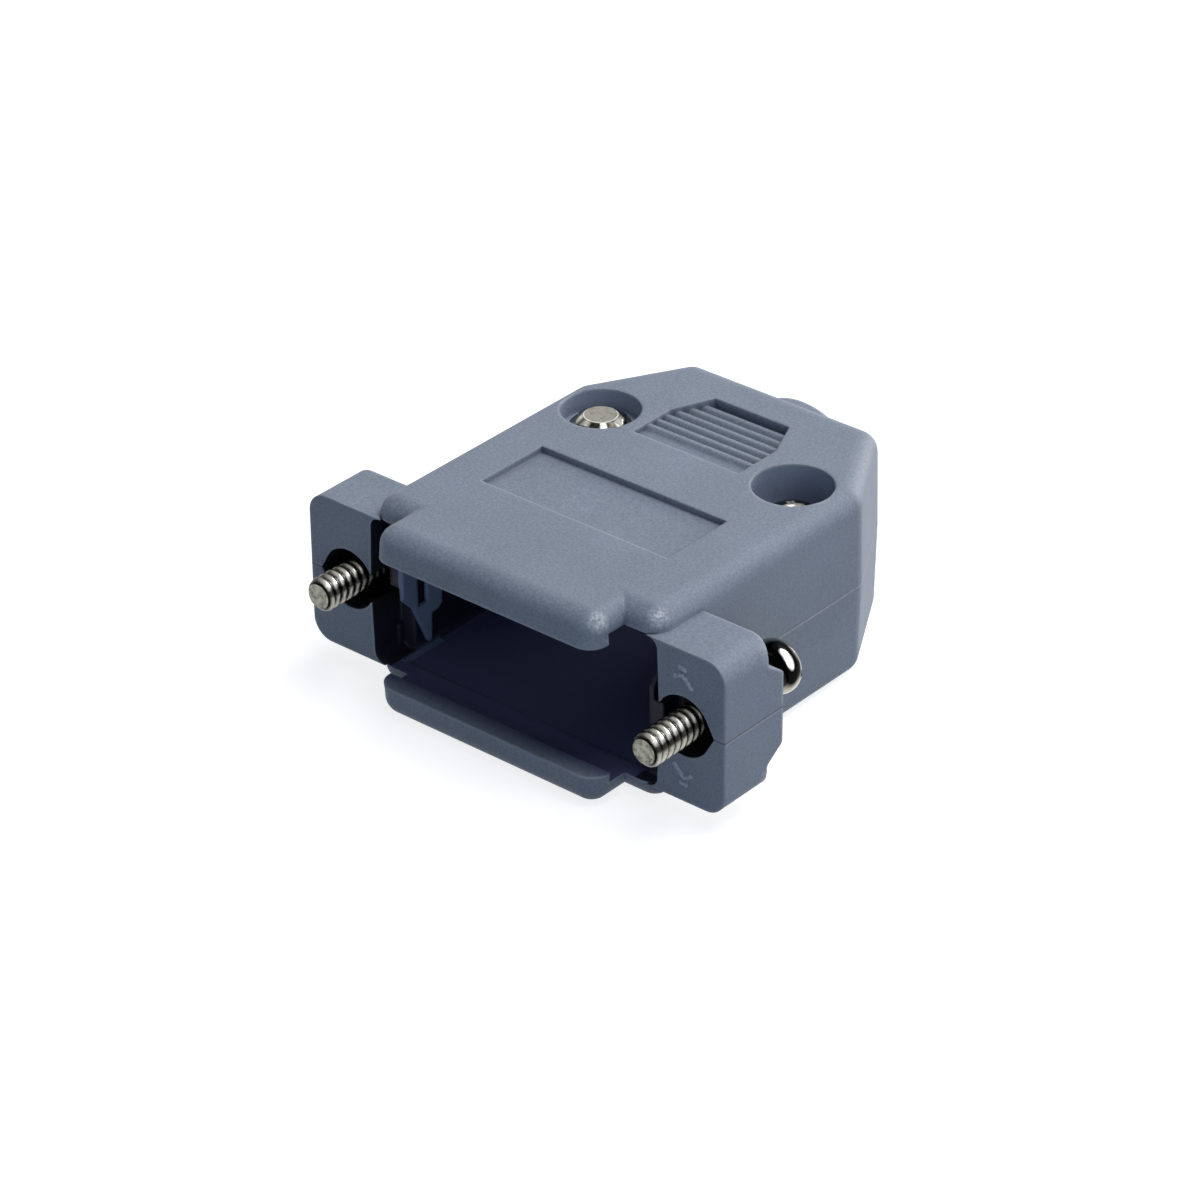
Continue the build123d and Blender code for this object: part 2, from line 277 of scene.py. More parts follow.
# 1 under the given limit in mm, 0 over it
def below(tree, value, limit):
    return rangeNode(tree, value, (limit - 0.01) * mm, (limit + 0.01) * mm, 1.0, 0.0)


def product(tree, *values):
    result = values[0]
    for value in values[1:]:
        result = mathNode(tree, "MULTIPLY", result, value)
    return result


# moulded housing plastic: blue-grey with the fine mottle of a spark-eroded mould
housingPlastic = {
    "colour": srgb(121, 130, 145),
    "mottleColour": srgb(145, 154, 168),
    # painted shade inside the hood, deepest at its sides and in the jackscrew pockets; the tongue is painted
    # lighter there for the light it catches
    "insideShadeColour": srgb(90, 92, 128),
    "cornerShadeColour": srgb(16, 19, 34),
    "pocketShadeColour": srgb(10, 11, 16),
    "tongueLitColour": srgb(118, 134, 162),
    # painted light: the wells' walls are lifted lighter than the housing
    "wellLitColour": srgb(150, 160, 180),
    # painted highlight on the edges and painted shade in the creases; the seam is a dark joint
    "edgeHighlightColour": srgb(205, 212, 222),
    "creaseShadeColour": srgb(30, 38, 60),
    "seamColour": srgb(46, 54, 72),
    "mottleSize": 0.20 * mm,
    "mottleSpan": (0.33, 0.68),
    "noiseSpan": (0.3, 0.7),
    "cloudSize": 6 * mm,
    "cloudShare": (0.95, 1.05),
    "grainSize": 0.12 * mm,
    "grainDepth": 0.018 * mm,
    "grainStrength": 0.8,
    "roughness": 0.54,
    "roughnessSpan": (-0.05, 0.06),
    "wellRoughness": 0.26,
    "gloss": 0.30,
    "edgeRound": 0.40 * mm,
    "edgeSamples": 6,
    "edgeHighlightShare": 0.62,
    "edgeTurn": (0.994, 0.88),  # cosine of the turn at which an edge starts and is full
    "edgeOpen": (0.60, 0.88),
    "topEdgeShare": 0.34,
    # painted highlight: a mottled sheen on the lip's right corner and on the body's corner beside the ear
    "sheenSpots": [((10.3, -2.1, 7.4), 0.95), ((13.3, 1.2, 7.4), 0.95)],  # (x, y, z) and reach, in mm
    "sheenColour": srgb(240, 243, 248),
    "sheenLight": 0.78,
    "sheenCore": 0.3,
    "sheenMottle": (0.38, 0.62),
    "sheenLeast": 0.15,
    # painted shade in creases, found by occlusion
    "creaseReach": 0.8 * mm,
    "creaseSamples": 8,
    "creaseOpen": (0.2, 0.93),
    "creaseShade": 0.62,
    "creaseInWell": 0.35,
}
# where the inside surfaces, the wells and the seam lie, in mm; a pair is a start and an end
places = {
    "soft": 0.02,
    "mouthSide": 14.47, "mouthRise": 6.47, "mouthLong": (0.03, 3.3),
    "cavitySide": 13.4, "cavityRise": 6.68, "cavityLong": (1.4, 32.1),
    "cornerFrom": 24.5, "cornerLean": 0.5655,
    "slotSide": 10.9, "slotLong": (-1.7, 0.04),
    "hookRise": 5.58, "hookBack": (-1.7, -1.65), "hookFade": (-3.0, -1.9), "hookShare": 0.85,
    "darkSide": (12.7, 12.8), "darkRight": (11.8, 12.0),
    "tongueSide": (-12.78, -12.2), "tongueLong": (1.3, 5.9),
    "pocketSide": (14.3, 19.8), "pocketRise": 2.72, "pocketLong": (0.08, 5.04),
    "wellX": 9.6, "wellY": 21.82, "wellRadius": 3.3, "wellFloor": (4.73, 4.77), "wellTop": (7.9, 8.2),
    "postRadius": 3.7,
    "seamHalf": (0.03, 0.11), "seamShare": 0.65, "earSide": (14.6, 14.8), "seamOnBody": 0.4,
    "topRise": (6.9, 7.9), "topLong": (1.5, 31.0), "topSide": 12.6,
}


# from one value to another between two places in mm
def step(tree, value, place, start=0.0, end=1.0):
    return rangeNode(tree, value, place[0] * mm, place[1] * mm, start, end)


# 1 between two places in mm
def within(tree, value, place, soft=places["soft"]):
    return between(tree, value, place[0] * mm, place[1] * mm, soft * mm)


# length of the slanting side over two sides at right angles
def longSide(tree, a, b):
    squares = [mathNode(tree, "POWER", mathNode(tree, "ABSOLUTE", side), 2.0) for side in (a, b)]
    return mathNode(tree, "SQRT", mathNode(tree, "ADD", *squares))


# masks by place alone, the same for both half shells; inside, darkSide, pocket, tongue and well mark where
# shade and light are painted
def placeMasks(tree, coords):
    p = places
    split = tree.nodes.new("ShaderNodeSeparateXYZ")
    tree.links.new(coords, split.inputs[0])
    signedX, y = split.outputs["X"], split.outputs["Y"]
    x = mathNode(tree, "ABSOLUTE", signedX)
    z = mathNode(tree, "ABSOLUTE", split.outputs["Z"])
    fromWell = longSide(tree, mathNode(tree, "SUBTRACT", x, p["wellX"] * mm),
                        mathNode(tree, "SUBTRACT", y, p["wellY"] * mm))
    offPost = mathNode(tree, "SUBTRACT", 1.0, below(tree, fromWell, p["postRadius"]))
    mouth = product(tree, below(tree, x, p["mouthSide"]), below(tree, z, p["mouthRise"]),
                    within(tree, y, p["mouthLong"]))
    # the cavity's side follows the slanted rear corners
    past = mathNode(tree, "MAXIMUM", 0.0, mathNode(tree, "SUBTRACT", y, p["cornerFrom"] * mm))
    leaned = mathNode(tree, "ADD", x, mathNode(tree, "MULTIPLY", past, p["cornerLean"]))
    cavity = product(tree, below(tree, leaned, p["cavitySide"]), below(tree, z, p["cavityRise"]),
                     within(tree, y, p["cavityLong"]), offPost)
    slot = product(tree, below(tree, x, p["slotSide"]), below(tree, z, p["mouthRise"]),
                   within(tree, y, p["slotLong"]))
    hook = product(tree, below(tree, z, p["hookRise"]), step(tree, y, p["hookBack"], 1.0, 0.0),
                   step(tree, y, p["hookFade"], 0.0, p["hookShare"]))
    return {
        "well": product(tree, below(tree, fromWell, p["wellRadius"]), step(tree, z, p["wellFloor"]),
                        step(tree, z, p["wellTop"], 1.0, 0.0)),
        "inside": mathNode(tree, "MAXIMUM", mathNode(tree, "MAXIMUM", mouth, cavity),
                           mathNode(tree, "MAXIMUM", slot, hook)),
        "darkSide": mathNode(tree, "MAXIMUM", step(tree, x, p["darkSide"]),
                             step(tree, signedX, p["darkRight"])),
        "tongue": product(tree, within(tree, signedX, p["tongueSide"]), within(tree, y, p["tongueLong"])),
        "pocket": product(tree, within(tree, x, p["pocketSide"]), below(tree, z, p["pocketRise"]),
                          within(tree, y, p["pocketLong"])),
        "seam": product(tree, step(tree, z, p["seamHalf"], p["seamShare"], 0.0),
                        step(tree, x, p["earSide"], p["seamOnBody"], 1.0)),
        "top": product(tree, step(tree, z, p["topRise"]), within(tree, y, p["topLong"], 1.0),
                       below(tree, x, p["topSide"])),
    }


# paints highlights on edges and a mottled sheen on two corners, and paints shade in creases
def paintedEdgesAndCreases(tree, coords, colour, mottle, rounded, masks):
    p = housingPlastic
    crease = tree.nodes.new("ShaderNodeAmbientOcclusion")
    crease.samples = p["creaseSamples"]
    crease.inputs["Distance"].default_value = p["creaseReach"]
    openness = crease.outputs["AO"]
    geometry = tree.nodes.new("ShaderNodeNewGeometry")
    turn = tree.nodes.new("ShaderNodeVectorMath")
    turn.operation = "DOT_PRODUCT"
    tree.links.new(rounded, turn.inputs[0])
    tree.links.new(geometry.outputs["Normal"], turn.inputs[1])
    edge = product(tree, rangeNode(tree, turn.outputs["Value"], *p["edgeTurn"], 0.0, p["edgeHighlightShare"]),
                   rangeNode(tree, openness, *p["edgeOpen"], 0.0, 1.0),
                   rangeNode(tree, masks["top"], 0.0, 1.0, 1.0, p["topEdgeShare"]))
    colour = mixColour(tree, edge, colour, p["edgeHighlightColour"])
    speckle = rangeNode(tree, mottle, *p["sheenMottle"], p["sheenLeast"], 1.0)
    for spot, reach in p["sheenSpots"]:
        off = tree.nodes.new("ShaderNodeVectorMath")
        off.operation = "DISTANCE"
        off.inputs[1].default_value = Vector(spot) * mm
        tree.links.new(coords, off.inputs[0])
        near = step(tree, off.outputs["Value"], (reach * p["sheenCore"], reach), p["sheenLight"], 0.0)
        colour = mixColour(tree, product(tree, near, speckle), colour, p["sheenColour"])
    dark = product(tree, rangeNode(tree, openness, *p["creaseOpen"], p["creaseShade"], 0.0),
                   rangeNode(tree, masks["well"], 0.0, 1.0, 1.0, p["creaseInWell"]))
    return mixColour(tree, dark, colour, p["creaseShadeColour"])


def makeHousingPlastic():
    p = housingPlastic
    mat, tree, shader = newMaterial("housingPlastic")
    coords = tree.nodes.new("ShaderNodeTexCoord").outputs["Object"]
    masks = placeMasks(tree, coords)
    mottle = noiseNode(tree, coords, p["mottleSize"], 3.0, 0.6).outputs["Fac"]
    grain = noiseNode(tree, coords, p["grainSize"], 2.0).outputs["Fac"]
    cloud = noiseNode(tree, coords, p["cloudSize"], 2.0).outputs["Fac"]
    ramp = rampNode(tree, mottle, list(zip(p["mottleSpan"], (p["colour"], p["mottleColour"]))))
    toned = tree.nodes.new("ShaderNodeVectorMath")
    toned.operation = "SCALE"
    tree.links.new(ramp.outputs["Color"], toned.inputs[0])
    tree.links.new(rangeNode(tree, cloud, *p["noiseSpan"], *p["cloudShare"]), toned.inputs["Scale"])
    bevel = tree.nodes.new("ShaderNodeBevel")
    bevel.samples = p["edgeSamples"]
    bevel.inputs["Radius"].default_value = p["edgeRound"]
    rounded = bevel.outputs["Normal"]
    # painted light in the wells, painted highlights and crease shade, then painted shade inside the hood and
    # its pockets with the tongue painted lighter
    colour = mixColour(tree, masks["well"], toned.outputs[0], p["wellLitColour"])
    colour = paintedEdgesAndCreases(tree, coords, colour, mottle, rounded, masks)
    colour = mixColour(tree, masks["seam"], colour, p["seamColour"])
    insideShadeColour = mixColour(tree, masks["darkSide"], p["insideShadeColour"], p["cornerShadeColour"])
    insideShadeColour = mixColour(tree, masks["tongue"], insideShadeColour, p["tongueLitColour"])
    colour = mixColour(tree, masks["inside"], colour, insideShadeColour)
    colour = mixColour(tree, masks["pocket"], colour, p["pocketShadeColour"])
    tree.links.new(colour, shader.inputs["Base Color"])
    least, most = (p["roughness"] + change for change in p["roughnessSpan"])
    rough = rangeNode(tree, mottle, *p["noiseSpan"], least, most)
    smooth = mathNode(tree, "MULTIPLY", masks["well"], p["wellRoughness"] - p["roughness"])
    tree.links.new(mathNode(tree, "ADD", rough, smooth), shader.inputs["Roughness"])
    shader.inputs["Specular IOR Level"].default_value = p["gloss"]
    bump = tree.nodes.new("ShaderNodeBump")
    bump.inputs["Distance"].default_value = p["grainDepth"]
    tree.links.new(rangeNode(tree, masks["well"], 0.0, 1.0, p["grainStrength"], 0.0), bump.inputs["Strength"])
    tree.links.new(grain, bump.inputs["Height"])
    tree.links.new(rounded, bump.inputs["Normal"])
    tree.links.new(bump.outputs["Normal"], shader.inputs["Normal"])
    return mat


# the same plastic painted lighter, a painted highlight for the raised mould marks
markHighlightPlastic = {
    "colour": srgb(150, 158, 173),
    "lightColour": srgb(184, 191, 204),
    "size": 0.3 * mm,
    "span": (0.35, 0.65),
    "roughness": 0.6,
}


def makeMarkHighlightPlastic():
    p = markHighlightPlastic
    mat, tree, shader = newMaterial("markHighlightPlastic")
    coords = tree.nodes.new("ShaderNodeTexCoord").outputs["Object"]
    noise = noiseNode(tree, coords, p["size"], 2.0)
    ramp = rampNode(tree, noise.outputs["Fac"], list(zip(p["span"], (p["colour"], p["lightColour"]))))
    tree.links.new(ramp.outputs["Color"], shader.inputs["Base Color"])
    shader.inputs["Roughness"].default_value = p["roughness"]
    return mat


# plated steel with painted highlights and reflections. "tones" runs with the way a surface faces, from away
# (0) to straight at "facing" (1), painting on small parts the light of the soft boxes and the dark plastic
#     beside them
plating = {
    "bead": {"facing": (0.638, -0.47, 0.61), "roughness": 0.13, "stain": 0.0, "tones": [
        (0.0, (120, 117, 108)), (0.60, (182, 178, 164)), (0.74, (160, 156, 144)),
        (0.83, (18, 17, 17)), (0.955, (14, 14, 14)), (0.973, (240, 240, 238)), (1.0, (255, 255, 255))]},
    "nut": {"facing": (0.0, 0.0, 1.0), "roughness": 0.10, "stain": 0.55, "tones": [
        (0.0, (120, 118, 110)), (0.5, (96, 94, 86)), (0.80, (40, 39, 36)), (0.96, (60, 59, 55)),
        (0.975, (232, 231, 224)), (0.99, (226, 225, 218)), (0.998, (160, 159, 151)), (1.0, (152, 151, 143))],
        "centre": (-9.6, 21.82), "around": [
            (-180, (96, 94, 88)), (-128, (206, 204, 196)), (-112, (44, 42, 40)), (-92, (214, 212, 204)),
            (-78, (30, 29, 27)), (-54, (42, 40, 38)), (-43, (204, 202, 195)), (-32, (34, 33, 31)),
            (-10, (60, 58, 54)), (6, (206, 204, 196)), (30, (120, 118, 110)), (180, (92, 90, 84))]},
    "flange": {"facing": (0.0, 0.0, 1.0), "roughness": 0.45, "stain": 0.3, "metal": 0.25, "tones": [
        (0.0, (150, 148, 140)), (0.6, (190, 188, 180)), (1.0, (232, 230, 222))]},
    "pan": {"facing": (0.0, 0.0, 1.0), "roughness": 0.18, "stain": 0.5, "tones": [
        (0.0, (90, 88, 80)), (0.5, (110, 108, 100)), (0.80, (60, 59, 55)),
        (0.985, (52, 51, 48)), (0.998, (150, 149, 141)), (1.0, (156, 155, 147))]},
    # painted reflection: the cross recess painted bright
    "recess": {"facing": (0.0, 0.0, 1.0), "roughness": 0.25, "stain": 0.0, "tones": [
        (0.0, (200, 198, 190)), (0.5, (215, 213, 206)), (1.0, (250, 250, 246))]},
    "zinc": {"facing": (0.0, 0.0, 1.0), "roughness": 0.36, "stain": 0.2, "tones": [
        (0.0, (120, 122, 126)), (0.5, (150, 152, 156)), (1.0, (178, 180, 184))]},
    "stainColour": srgb(92, 88, 76),
    "stainSize": 0.5 * mm,
    "stainSpan": (0.45, 0.70),
    "slopeTurn": (0.90, 0.94),
    "scratchSize": 0.12 * mm,
    "scratchDepth": 0.005 * mm,
    "scratchSpan": (0.3, 0.75),
    "scratchStrength": 0.6,
    "roughShares": (0.7, 1.5),
}
# the thread: painted reflections by the angle round its axis, in degrees up from +X, and painted shade in the
# roots and inside the ear
threadTones = {
    "around": [(-180, (60, 58, 54)), (-70, (90, 88, 82)), (-25, (186, 184, 175)), (6, (160, 158, 149)),
               (18, (46, 44, 41)), (34, (36, 34, 32)), (43, (160, 158, 149)), (56, (255, 255, 252)),
               (70, (190, 188, 180)), (94, (150, 148, 139)), (112, (70, 68, 64)), (180, (40, 39, 36))],
    "tip": srgb(140, 140, 131),
    "tipStain": srgb(88, 86, 78),
    "rootShadeColour": srgb(12, 11, 10),
    "tipSpan": (0.42, 0.62),
    "tipShare": 0.9,
    "tipTurn": (-0.96, -0.88),
    "streakSpan": (0.40, 0.66),
    "streakShare": 0.35,
    "axisX": 16.66,
    "rootToCrest": (1.15, 1.29),
    "shadeLong": (-1.2, 1.6),
    "shade": 0.94,
    "roughness": 0.26,
}


def finishMetal(tree, shader, coords, colour, roughness, metal=1.0):
    scratch = noiseNode(tree, coords, plating["scratchSize"], 3.0, 0.6)
    tree.links.new(colour, shader.inputs["Base Color"])
    least, most = (roughness * share for share in plating["roughShares"])
    rough = rangeNode(tree, scratch.outputs["Fac"], *plating["scratchSpan"], least, most)
    tree.links.new(rough, shader.inputs["Roughness"])
    shader.inputs["Metallic"].default_value = metal
    bump = tree.nodes.new("ShaderNodeBump")
    bump.inputs["Distance"].default_value = plating["scratchDepth"]
    bump.inputs["Strength"].default_value = plating["scratchStrength"]
    tree.links.new(scratch.outputs["Fac"], bump.inputs["Height"])
    tree.links.new(bump.outputs["Normal"], shader.inputs["Normal"])


def makePlating(kind):
    p = plating[kind]
    mat, tree, shader = newMaterial(kind + "Plating")
    coords = tree.nodes.new("ShaderNodeTexCoord").outputs["Object"]
    stain = noiseNode(tree, coords, plating["stainSize"], 4.0, 0.6)
    geometry = tree.nodes.new("ShaderNodeNewGeometry")
    facing = tree.nodes.new("ShaderNodeVectorMath")
    facing.operation = "DOT_PRODUCT"
    facing.inputs[1].default_value = Vector(p["facing"]).normalized()
    tree.links.new(geometry.outputs["Normal"], facing.inputs[0])
    share = rangeNode(tree, facing.outputs["Value"], -1.0, 1.0, 0.0, 1.0)
    tones = [(place, srgb(*tone)) for place, tone in p["tones"]]
    colour = rampNode(tree, share, tones).outputs["Color"]
    if "around" in p:
        # painted glints and dark reflections by turns on the sloping sides
        place = tree.nodes.new("ShaderNodeSeparateXYZ")
        tree.links.new(coords, place.inputs[0])
        offX = mathNode(tree, "SUBTRACT", place.outputs["X"], p["centre"][0] * mm)
        offY = mathNode(tree, "SUBTRACT", place.outputs["Y"], p["centre"][1] * mm)
        turn = rangeNode(tree, mathNode(tree, "ARCTAN2", offY, offX), -math.pi, math.pi, 0.0, 1.0)
        stops = [((degrees + 180) / 360, srgb(*tone)) for degrees, tone in p["around"]]
        slope = rangeNode(tree, facing.outputs["Value"], *plating["slopeTurn"], 1.0, 0.0)
        colour = mixColour(tree, slope, colour, rampNode(tree, turn, stops).outputs["Color"])
    patchy = rangeNode(tree, stain.outputs["Fac"], *plating["stainSpan"], 0.0, p["stain"])
    colour = mixColour(tree, patchy, colour, plating["stainColour"])
    finishMetal(tree, shader, coords, colour, p["roughness"], p.get("metal", 1.0))
    return mat


def makeThreadPlating():
    p = threadTones
    mat, tree, shader = newMaterial("threadPlating")
    coords = tree.nodes.new("ShaderNodeTexCoord").outputs["Object"]
    place = tree.nodes.new("ShaderNodeSeparateXYZ")
    tree.links.new(coords, place.inputs[0])
    geometry = tree.nodes.new("ShaderNodeNewGeometry")
    normal = tree.nodes.new("ShaderNodeSeparateXYZ")
    tree.links.new(geometry.outputs["Normal"], normal.inputs[0])
    angle = mathNode(tree, "ARCTAN2", normal.outputs["Z"], normal.outputs["X"])
    share = rangeNode(tree, angle, -math.pi, math.pi, 0.0, 1.0)
    stops = [((degrees + 180) / 360, srgb(*tone)) for degrees, tone in p["around"]]
    colour = rampNode(tree, share, stops).outputs["Color"]
    blotch = noiseNode(tree, coords, plating["stainSize"], 4.0, 0.6).outputs["Fac"]
    tip = mixColour(tree, rangeNode(tree, blotch, *p["tipSpan"], 0.0, p["tipShare"]), p["tip"], p["tipStain"])
    onTip = rangeNode(tree, normal.outputs["Y"], *p["tipTurn"], 1.0, 0.0)
    streak = rangeNode(tree, blotch, *p["streakSpan"], 0.0, p["streakShare"])
    colour = mixColour(tree, streak, colour, plating["stainColour"])
    # painted shade near the screw's axis, in the thread's roots
    offX = mathNode(tree, "SUBTRACT", mathNode(tree, "ABSOLUTE", place.outputs["X"]), p["axisX"] * mm)
    fromAxis = longSide(tree, offX, place.outputs["Z"])
    deep = step(tree, fromAxis, p["rootToCrest"], 1.0, 0.0)
    colour = mixColour(tree, deep, colour, p["rootShadeColour"])
    colour = mixColour(tree, onTip, colour, tip)
    # painted shade inside the ear
    shade = step(tree, place.outputs["Y"], p["shadeLong"], 0.0, p["shade"])
    colour = mixColour(tree, shade, colour, p["rootShadeColour"])
    finishMetal(tree, shader, coords, colour, p["roughness"])
    return mat


finishes = {"housing": makeHousingPlastic(), "thread": makeThreadPlating()}
for kind in ("bead", "nut", "flange", "pan", "recess", "zinc"):
    finishes[kind] = makePlating(kind)
finishes["rubbed"] = makeMarkHighlightPlastic()
nodeFinish = {
    "upper_shell": "housing", "lower_shell": "housing",
    "jackscrew_left": "bead", "jackscrew_right": "bead",
    "closing_screw_left": "pan", "closing_screw_right": "pan",
    "closing_nut_left": "nut", "closing_nut_right": "nut",
    "cable_clamp_upper": "zinc", "cable_clamp_lower": "zinc",
    "clamp_screw_left": "zinc", "clamp_screw_right": "zinc",
    "clamp_nut_left": "zinc", "clamp_nut_right": "zinc",
}
for nodeName, finishName in nodeFinish.items():
    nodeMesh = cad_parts[nodeName].data
    nodeMesh.materials.clear()
    nodeMesh.materials.append(finishes[finishName])
print("finishes set")


def joinRings(work, low, high):
    for k in range(len(low)):
        n = (k + 1) % len(low)
        work.faces.new((low[k], low[n], high[n], high[k]))


def meshFrom(work, name):
    bmesh.ops.recalc_face_normals(work, faces=work.faces)
    mesh = bpy.data.meshes.new(name)
    work.to_mesh(mesh)
    work.free()
    return mesh


# rings of (radius, height) turned about Z, as a closed solid; a loop has a hole through it
def addTurned(work, profile, around=64, loop=False, cornered=None):
    rings = []
    for radius, height in profile:
        if radius == 0:
            rings.append([work.verts.new((0, 0, height))])
            continue
        ring = []
        for k in range(around):
            angle = 2 * math.pi * k / around
            r = min(radius, cornered(angle)) if cornered else radius
            ring.append(work.verts.new((r * math.cos(angle), r * math.sin(angle), height)))
        rings.append(ring)
    pairs = list(zip(rings, rings[1:]))
    if loop:
        pairs.append((rings[-1], rings[0]))
    for low, high in pairs:
        if len(low) > 1 and len(high) > 1:
            joinRings(work, low, high)
            continue
        for k in range(around):
            n = (k + 1) % around
            work.faces.new((low[0], high[n], high[k]) if len(low) == 1 else (low[k], low[n], high[0]))


def arcPoints(centreR, centreH, radius, fromDeg, toDeg, steps):
    points = []
    for i in range(steps + 1):
        a = math.radians(fromDeg + (toDeg - fromDeg) * i / steps)
        points.append((centreR + radius * math.cos(a), centreH + radius * math.sin(a)))
    return points


# takes boxes out of a mesh; each is its half size, its place, its turn about Z,
# and the share of its width that is left at its foot
def cutBoxes(mesh, boxes):
    solid = bpy.data.objects.new("solidToCut", mesh)
    bpy.context.collection.objects.link(solid)
    cutters = []
    for half, place, turn, foot in boxes:
        work = bmesh.new()
        bmesh.ops.create_cube(work, size=2.0)
        for v in work.verts:
            narrow = foot if v.co.z < 0 else 1.0
            v.co = Vector((v.co.x * half[0] * narrow, v.co.y * half[1], v.co.z * half[2]))
        cutMesh = bpy.data.meshes.new("cutter")
        work.to_mesh(cutMesh)
        work.free()
        cutter = bpy.data.objects.new("cutter", cutMesh)
        cutter.matrix_world = Matrix.Translation(place) @ Matrix.Rotation(turn, 4, "Z")
        bpy.context.collection.objects.link(cutter)
        cutters.append(cutter)
        change = solid.modifiers.new("cut", "BOOLEAN")
        change.operation = "DIFFERENCE"
        change.solver = "EXACT"
        change.object = cutter
    bpy.context.view_layer.update()
    result = bpy.data.meshes.new_from_object(solid.evaluated_get(bpy.context.evaluated_depsgraph_get()))
    for obj in [solid] + cutters:
        bpy.data.objects.remove(obj, do_unlink=True)
    return result


# finish is one name, or several with a rule that says which of them a face takes
def finishPiece(name, mesh, node, body, finish, smooth=35, rule=None):
    for face in mesh.polygons:
        face.use_smooth = True
    mesh.set_sharp_from_angle(angle=math.radians(smooth))
    mesh.materials.clear()
    for kind in [finish] if isinstance(finish, str) else finish:
        mesh.materials.append(finishes[kind])
    for face in mesh.polygons:
        face.material_index = rule(face) if rule else 0
    piece = bpy.data.objects.new(name, mesh)
    bpy.context.collection.objects.link(piece)
    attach(piece, body)
    if node:
        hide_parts(node)
    return piece


# jackscrews: real helix on the thread, thin neck, rounded slotted head
jackScrew = {
    "pitch": 0.74 * mm,
    "crestRadius": 1.39 * mm,
    "rootRadius": 1.10 * mm,
    "threadLength": 8.48 * mm,
    "neckLength": 6.04 * mm,
    "neckRadius": 1.15 * mm,
    "neckOverlap": 0.3 * mm,  # how far the neck runs into the thread
    "neckInHead": 0.02 * mm,
    "crestPower": 0.62,  # under 1 broadens the crest
    "runOut": 0.5,  # share of a pitch over which the thread rises to its end
    "tipCone": 0.36 * mm,
    "headRadius": 2.22 * mm,
    "headHeight": 1.9 * mm,
    "underRound": 0.8 * mm,
    "topRound": 0.95 * mm,
    "slotHalf": 3 * mm,
    "slotWide": 0.6 * mm,
    "slotDeep": 0.75 * mm,
    "aroundSteps": 72,
    "stepsPerPitch": 14,
}


# radius at a share of one pitch: narrow root, broad rounded crest
def threadRadius(share):
    t = jackScrew
    rise = abs(math.sin(math.pi * share)) ** t["crestPower"]
    return t["rootRadius"] + (t["crestRadius"] - t["rootRadius"]) * rise


def addThread(work, length):
    t = jackScrew
    rows = int(length / t["pitch"] * t["stepsPerPitch"])
    around = t["aroundSteps"]
    rings = []
    for i in range(rows + 1):
        h = length * i / rows
        ring = []
        for k in range(around):
            angle = 2 * math.pi * k / around
            r = threadRadius(h / t["pitch"] + k / around)
            if h < t["tipCone"]:
                r = min(r, t["crestRadius"] - t["tipCone"] + h)
            nearEnd = 1 - (length - h) / (t["pitch"] * t["runOut"])
            if nearEnd > 0:
                r = max(r, t["rootRadius"] + (t["crestRadius"] - t["rootRadius"]) * nearEnd)
            ring.append(work.verts.new((r * math.cos(angle), r * math.sin(angle), h)))
        rings.append(ring)
    for low, high in zip(rings, rings[1:]):
        joinRings(work, low, high)
    for ring, height in ((rings[0], 0.0), (rings[-1], length)):
        middle = work.verts.new((0, 0, height))
        for k in range(around):
            n = (k + 1) % around
            work.faces.new((ring[k], ring[n], middle))


def makeJackscrew(node):
    t = jackScrew
    low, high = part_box(node)
    centreX = (low[0] + high[0]) / 2
    under = t["threadLength"] + t["neckLength"]
    top = under + t["headHeight"]
    neckFrom = t["threadLength"] - t["neckOverlap"]
    underRound, topRound = t["underRound"], t["topRound"]
    work = bmesh.new()
    profile = [(0, neckFrom), (t["neckRadius"], neckFrom), (t["neckRadius"], under + t["neckInHead"])]
    profile += arcPoints(t["headRadius"] - underRound, under + underRound, underRound, -88, 0, 9)
    profile += arcPoints(t["headRadius"] - topRound, top - topRound, topRound, 0, 90, 10)
    profile += [(0, top)]
    addTurned(work, profile, 72)
    slot = ((t["slotHalf"], t["slotWide"] / 2, t["slotDeep"]), (0, 0, top), 0.0, 1.0)
    mesh = cutBoxes(meshFrom(work, node + "_head"), [slot])
    work = bmesh.new()
    work.from_mesh(mesh)
    addThread(work, t["threadLength"])
    # from the turning axis Z to the screw's place along Y
    place = Matrix.Translation((centreX, low[1], 0)) @ Matrix.Rotation(math.radians(-90), 4, "X")
    bmesh.ops.transform(work, matrix=place, verts=work.verts)
    done = meshFrom(work, node + "_threaded")
    body = "left_jackscrew" if node.endswith("left") else "right_jackscrew"
    middle = low[1] + t["threadLength"] + t["neckLength"] / 2
    return finishPiece(node + "_threaded", done, node, body, ("thread", "bead"), 40,
                       lambda face: 1 if face.center.y > middle else 0)


for nodeName in ("jackscrew_left", "jackscrew_right"):
    makeJackscrew(nodeName)
print("jackscrews made")


# closing screws: pan head with a cross recess; the end shows in the nut
closingScrew = {
    "x": 9.6 * mm, "y": 21.82 * mm,
    "radius": 1.25 * mm,
    "end": -7.752 * mm,
    "endCone": 0.006 * mm,
    "headFloor": 4.8 * mm,
    "headRadius": 2.35 * mm,
    "headEdge": 0.1 * mm,
    "rim": 0.75 * mm,
    "dome": 0.9 * mm,
    "crossWide": 0.62 * mm,
    "crossLong": 2.3 * mm,
    "crossDeep": 0.42 * mm,
    "crossFoot": 0.72,  # share of its length left at its foot
    "crossTurn": 52,
    "underDome": 0.02 * mm,  # a face of the recess lies at least this far under the dome
}


# from the middle to its well, and for the lower shell turned half a turn about the cable's axis
def moveToWell(mesh, sizes, turned):
    place = Matrix.Translation((sizes["x"], sizes["y"], 0))
    if turned:
        place = Matrix.Rotation(math.radians(180), 4, "Y") @ place
    mesh.transform(place)


